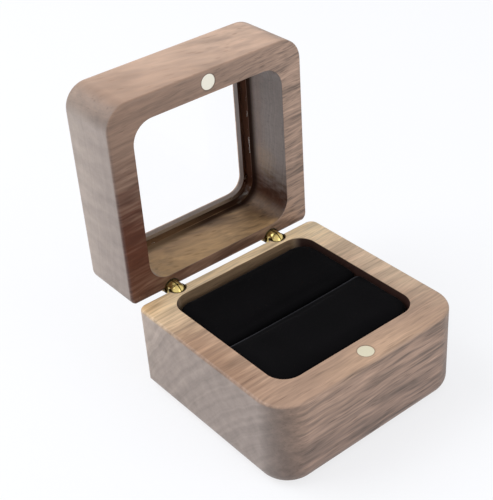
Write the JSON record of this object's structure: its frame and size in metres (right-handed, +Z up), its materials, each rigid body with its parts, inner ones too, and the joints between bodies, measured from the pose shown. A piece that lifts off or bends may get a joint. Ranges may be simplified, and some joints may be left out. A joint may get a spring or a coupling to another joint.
{
  "type": "ring display box",
  "caption": "Walnut box for a ring, with a rolled velvet insert, a windowed lid on barrel hinges and a magnetic catch.",
  "frame": {"origin": "middle of the base's footprint, on the flat underside it stands on", "axes": "+X along the hinge line, to the right for someone facing the front of the open box; -Y towards the front, the side with the magnets; +Z up. The rest pose is the box standing open, with the lid upright at 90 degrees"},
  "size_m": [0.058, 0.0759, 0.0777],
  "materials": {
    "walnut_base": "satin",
    "walnut_lid": "satin",
    "clear_pane": "polished",
    "clear_adhesive": "gloss",
    "plated_magnet": "satin",
    "insert_board": "matte",
    "cushion_foam": "matte",
    "black_velvet": "matte",
    "hinge_brass": "polished",
    "hinge_pin": "satin"
  },
  "bodies": {
    "base": {"walnut_base": "walnut_base", "base_magnet": "plated_magnet", "insert_board": "insert_board", "front_foam": "cushion_foam", "rear_foam": "cushion_foam", "front_velvet": "black_velvet", "rear_velvet": "black_velvet", "left_base_barrel": "hinge_brass", "left_base_pin": "hinge_pin", "right_base_barrel": "hinge_brass", "right_base_pin": "hinge_pin"},
    "hinge_links": {"left_outer_link": "hinge_brass", "left_inner_link": "hinge_brass", "right_outer_link": "hinge_brass", "right_inner_link": "hinge_brass"},
    "lid": {"walnut_lid": "walnut_lid", "window_pane": "clear_pane", "pane_adhesive": "clear_adhesive", "lid_magnet": "plated_magnet", "left_lid_barrel": "hinge_brass", "left_lid_pin": "hinge_pin", "right_lid_barrel": "hinge_brass", "right_lid_pin": "hinge_pin"}
  },
  "joints": [
    {"name": "base_knuckle", "type": "hinge", "parent": "base", "child": "hinge_links", "pos_m": [0, 0.02755, 0.023], "axis": [1, 0, 0], "range_deg": [0, 90]},
    {"name": "lid_knuckle", "type": "hinge", "parent": "hinge_links", "child": "lid", "pos_m": [0, 0.03085, 0.023], "axis": [1, 0, 0], "range_deg": [-90, 0]}
  ]
}
